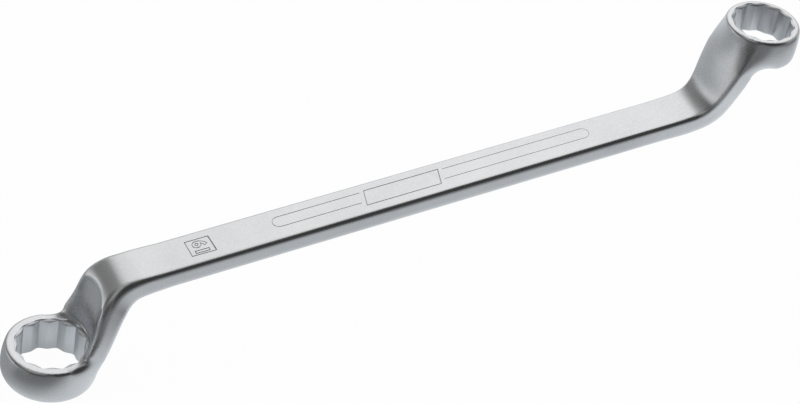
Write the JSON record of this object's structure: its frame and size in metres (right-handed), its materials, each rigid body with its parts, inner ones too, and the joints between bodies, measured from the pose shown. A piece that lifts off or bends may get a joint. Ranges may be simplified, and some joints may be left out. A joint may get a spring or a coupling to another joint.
{
  "type": "ring spanner",
  "caption": "Double-ended ring spanner with deeply cranked necks and multi-point rings, forged as a single bar, satin chrome plated, for turning hexagon nuts and bolts.",
  "frame": {"origin": "centre of the forging's box, within 2 mm of the middle of the shank", "axes": "+X along the shank from the large ring to the small ring, +Y across the shank's width, +Z square to the shank's wide face, towards the small ring's working face"},
  "size_m": [0.264, 0.0298, 0.0624],
  "materials": {
    "satin_chrome": "satin chrome plate over forged steel"
  },
  "bodies": {
    "root": {"spanner_forging": "satin_chrome"}
  },
  "joints": []
}
